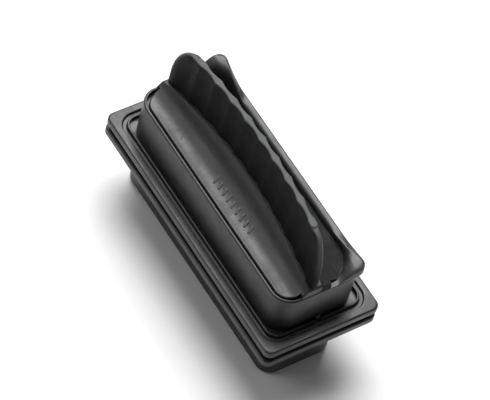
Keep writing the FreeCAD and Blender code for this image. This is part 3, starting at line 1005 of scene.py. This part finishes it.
def pile_tree():
    """Short curved strands standing on one face of a pad."""
    tree, given, out = new_group(
        "pile", "GeometryNodeTree",
        [("Geometry", "NodeSocketGeometry", None), ("Density", "NodeSocketFloat", 1.0e6),
         ("Strand Length", "NodeSocketFloat", 0.8 * mm),
         ("Strand Height", "NodeSocketFloat", 0.3 * mm),
         ("Thickness", "NodeSocketFloat", 0.05 * mm), ("Facing", "NodeSocketFloat", 1.0),
         ("Seed", "NodeSocketInt", 7), ("Finish", "NodeSocketMaterial", None)],
        [("Geometry", "NodeSocketGeometry")])
    side = tree.nodes.new("GeometryNodeInputNormal")
    lift = add_node(tree, "ShaderNodeSeparateXYZ", None, {0: side.outputs[0]}).outputs["Z"]
    chosen = add_node(tree, "FunctionNodeCompare", {"operation": "GREATER_THAN"},
                      {0: calculate(tree, "MULTIPLY", lift, given.outputs["Facing"]), 1: 0.9})
    points = add_node(tree, "GeometryNodeDistributePointsOnFaces", None,
                      {"Mesh": given.outputs["Geometry"], "Selection": chosen.outputs[0],
                       "Density": given.outputs["Density"], "Seed": given.outputs["Seed"]})
    half = calculate(tree, "MULTIPLY", given.outputs["Strand Length"], 0.5)
    start = add_node(tree, "ShaderNodeCombineXYZ", None,
                     {"X": calculate(tree, "MULTIPLY", half, -1.0)})
    end = add_node(tree, "ShaderNodeCombineXYZ", None, {"X": half})
    top = add_node(tree, "ShaderNodeCombineXYZ", None,
                   {"Z": calculate(tree, "MULTIPLY", given.outputs["Strand Height"], 2.0)})
    strand = add_node(tree, "GeometryNodeCurveQuadraticBezier", None,
                      {"Resolution": 4, "Start": start.outputs[0], "Middle": top.outputs[0],
                       "End": end.outputs[0]})
    section = add_node(tree, "GeometryNodeCurvePrimitiveCircle", None, {"Resolution": 3})
    radius = calculate(tree, "MULTIPLY", given.outputs["Thickness"], 0.5)
    tree.links.new(radius, section.inputs["Radius"])
    loop = add_node(tree, "GeometryNodeCurveToMesh", None,
                    {"Curve": strand.outputs["Curve"], "Profile Curve": section.outputs["Curve"]})
    turn = add_node(tree, "FunctionNodeRandomValue", {"data_type": "FLOAT_VECTOR"},
                    {"Min": (-0.25, -0.25, 0.0), "Max": (0.25, 0.25, 6.28)})
    tree.links.new(given.outputs["Seed"], turn.inputs["Seed"])
    flip = add_node(tree, "GeometryNodeInstanceOnPoints", None,
                    {"Points": points.outputs["Points"], "Instance": loop.outputs["Mesh"],
                     "Rotation": turn.outputs[0]})
    mirror = add_node(tree, "ShaderNodeCombineXYZ", None,
                      {"X": 1.0, "Y": 1.0, "Z": given.outputs["Facing"]})
    faced = add_node(tree, "GeometryNodeScaleInstances", None,
                     {"Instances": flip.outputs["Instances"], "Scale": mirror.outputs[0]})
    joined = tree.nodes.new("GeometryNodeJoinGeometry")
    tree.links.new(faced.outputs["Instances"], joined.inputs["Geometry"])
    tree.links.new(given.outputs["Geometry"], joined.inputs["Geometry"])
    real = add_node(tree, "GeometryNodeRealizeInstances", None,
                    {"Geometry": joined.outputs["Geometry"]})
    dressed = add_node(tree, "GeometryNodeSetMaterial", None,
                       {"Geometry": real.outputs["Geometry"],
                        "Material": given.outputs["Finish"]})
    tree.links.new(dressed.outputs["Geometry"], out.inputs["Geometry"])
    return tree


pile = pile_tree()


def scrub_face():
    """Scrubbing pad: a thin backing with a pile of nylon loops on its upper face."""
    low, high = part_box("scrub_pad")[0][2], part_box("scrub_pad")[1][2]
    piece = pad_slab("scrub_face", low, high - 0.45 * mm, 0.3 * mm)
    return grow(piece, pile, Finish=finishes["scrub_fabric"])


def felt_face():
    """Felt pad: soft-edged slab with stray fibres on its lower face."""
    low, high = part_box("felt_pad")[0][2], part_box("felt_pad")[1][2]
    piece = pad_slab("felt_face", low + 0.12 * mm, high, 0.35 * mm)
    grow(piece, pile, Finish=finishes["felt"], Facing=-1.0, Seed=23,
         **{"Strand Length": 1.3 * mm, "Strand Height": 0.08 * mm, "Thickness": 0.03 * mm})
    shape = bmesh.new()
    shape.from_mesh(piece.data)
    bmesh.ops.recalc_face_normals(shape, faces=shape.faces)
    shape.to_mesh(piece.data)
    shape.free()
    return piece


# ---- Placing the pieces ----------------------------------------------------------
for node in frame["record"]["subparts"]:
    cad_piece = frame["nodes"][node["node"]]
    cad_piece.data.materials.clear()
    cad_piece.data.materials.append(finishes[node["material_slot"]])

built = (
    (wet_case, "inner_case", "inner_half", "case_plastic"),
    (wet_flange, "inner_tray", "inner_half", "case_plastic"),
    (scrub_face, "scrub_pad", "inner_half", "scrub_fabric"),
    (felt_face, "felt_pad", "outer_half", "felt"),
    (dry_flange, "outer_tray", "outer_half", "case_plastic"),
    (dry_case, "outer_case", "outer_half", "case_plastic"),
    (handle_scoops, "handle_panel", "outer_half", "handle_plastic"),
    (fluted_grip, "grip", "outer_half", "grip_rubber"),
)
for build, node, body, finish in built:
    piece = build()
    piece.data.materials.clear()
    piece.data.materials.append(finishes[finish])
    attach(piece, body)
    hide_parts(node)


# ---- Floor, light and camera -----------------------------------------------------
def pale_floor():
    shape = bmesh.new()
    bmesh.ops.create_grid(shape, x_segments=1, y_segments=1, size=3)
    floor = finish_piece("floor", shape)
    material, tree, shader, place = start_finish("pale floor")
    mottle = add_node(tree, "ShaderNodeTexNoise", None,
                      {"Vector": place, "Scale": 40.0, "Detail": 4.0})
    shade = tint(tree, mottle.outputs[0], (0.8, 0.8, 0.8), (0.84, 0.84, 0.84))
    tree.links.new(shade, shader.inputs["Base Color"])
    shader.inputs["Roughness"].default_value = 0.7
    floor.data.materials.append(material)
    floor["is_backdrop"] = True


def soft_light(name, azimuth, elevation, distance, size, power):
    """A large soft box aimed at the cleaner."""
    turn, lift = math.radians(azimuth), math.radians(elevation)
    toward = Vector((math.sin(turn) * math.cos(lift), -math.cos(turn) * math.cos(lift),
                     math.sin(lift)))
    lamp = bpy.data.lights.new(name, "AREA")
    lamp.shape, lamp.size, lamp.energy = "SQUARE", size, power
    holder = bpy.data.objects.new(name, lamp)
    holder.location = toward * distance
    holder.rotation_euler = toward.to_track_quat("Z", "Y").to_euler()
    bpy.context.scene.collection.objects.link(holder)


def studio():
    world = bpy.data.worlds.new("studio")
    world.use_nodes = True
    sky = world.node_tree.nodes["Background"]
    sky.inputs["Color"].default_value = (1, 1, 1, 1)
    sky.inputs["Strength"].default_value = 0.16
    bpy.context.scene.world = world
    # A plain tone curve keeps the contrast between the black pieces.
    bpy.context.scene.view_settings.view_transform = "Standard"
    soft_light("back box", azimuth=242, elevation=60, distance=1.2, size=0.9, power=24)
    soft_light("front box", azimuth=325, elevation=45, distance=1.5, size=0.7, power=4)


def hand_camera():
    """Camera above one corner of the cleaner, rolled as if hand-held."""
    azimuth, elevation, roll = math.radians(44.45), math.radians(54.04), math.radians(17.04)
    distance = 1.12
    low, high = (Vector(corner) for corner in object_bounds())
    target = (low + high) / 2
    back = Vector((math.sin(azimuth) * math.cos(elevation),
                   -math.cos(azimuth) * math.cos(elevation), math.sin(elevation)))
    level = Vector((math.cos(azimuth), math.sin(azimuth), 0))
    above = back.cross(level)
    right = level * math.cos(roll) + above * math.sin(roll)
    up = back.cross(right)
    lens = bpy.data.cameras.new("camera")
    lens.lens, lens.sensor_width, lens.clip_start = 262, 36, 0.01
    camera = bpy.data.objects.new("camera", lens)
    camera.matrix_world = Matrix.Translation(target + back * distance) @ Matrix(
        (right, up, back)).transposed().to_4x4()
    bpy.context.scene.collection.objects.link(camera)
    bpy.context.scene.camera = camera


pale_floor()
studio()
hand_camera()
